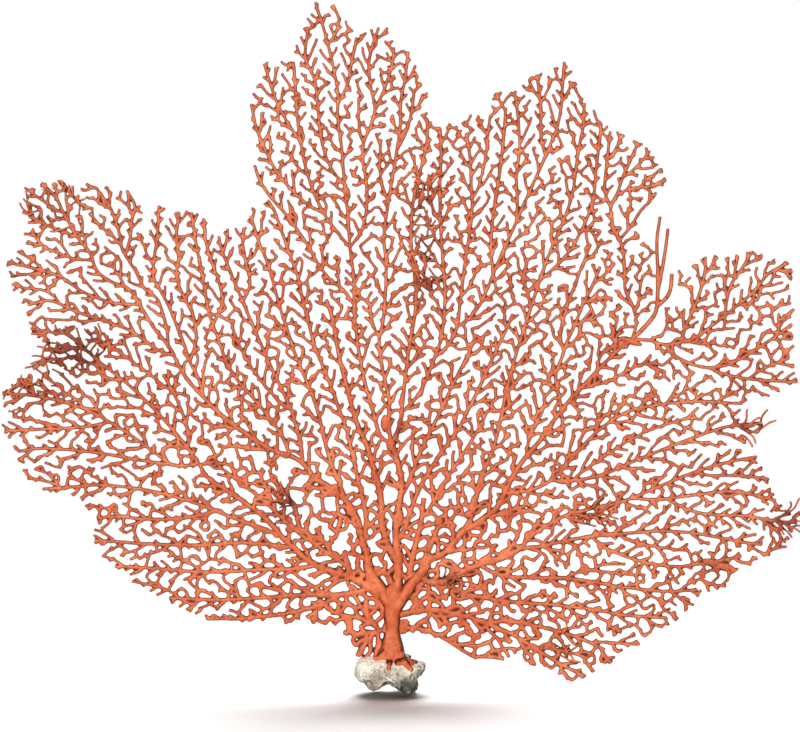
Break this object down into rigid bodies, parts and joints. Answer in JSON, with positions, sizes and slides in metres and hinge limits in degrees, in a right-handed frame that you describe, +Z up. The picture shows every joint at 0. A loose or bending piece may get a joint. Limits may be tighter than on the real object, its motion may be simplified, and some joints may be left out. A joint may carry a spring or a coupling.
{
  "type": "sea fan",
  "caption": "Dried fan coral: a flat net of orange-red twigs on forking limbs, standing on the loose stone its foot grew over.",
  "frame": {"origin": "on the floor under the middle of the fan's width and depth", "axes": "+X across the fan to the viewer's right, +Y through the fan to its back, +Z up"},
  "size_m": [0.3972, 0.0427, 0.3473],
  "materials": {
    "coral": "matte, finely grained",
    "stone": "rough, pitted"
  },
  "bodies": {
    "root": {"centre_limb": "coral", "flame_limb": "coral", "foot_low_limb": "coral", "foot_right_limb": "coral", "heart_limb": "coral", "heart_right_limb": "coral", "high_middle_limb": "coral", "high_right_limb": "coral", "inner_left_limb": "coral", "inner_limb": "coral", "left_arm": "coral", "left_fan": "coral", "left_fan_low_limb": "coral", "left_hem": "coral", "left_high_arm": "coral", "left_limb": "coral", "left_long_limb": "coral", "left_low_limb": "coral", "left_skirt": "coral", "left_upper_limb": "coral", "left_wing": "coral", "low_foot_limb": "coral", "low_middle_limb": "coral", "low_right_limb": "coral", "low_side_limb": "coral", "low_wing": "coral", "peak_left_limb": "coral", "peak_limb": "coral", "peak_right_limb": "coral", "peak_root_limb": "coral", "right_flame_limb": "coral", "right_limb": "coral", "right_long_limb": "coral", "right_tip_limb": "coral", "right_top_limb": "coral", "right_upper_limb": "coral", "right_wing": "coral", "shoulder_limb": "coral", "spikes": "coral", "stone": "stone", "trunk": "coral"}
  },
  "joints": []
}
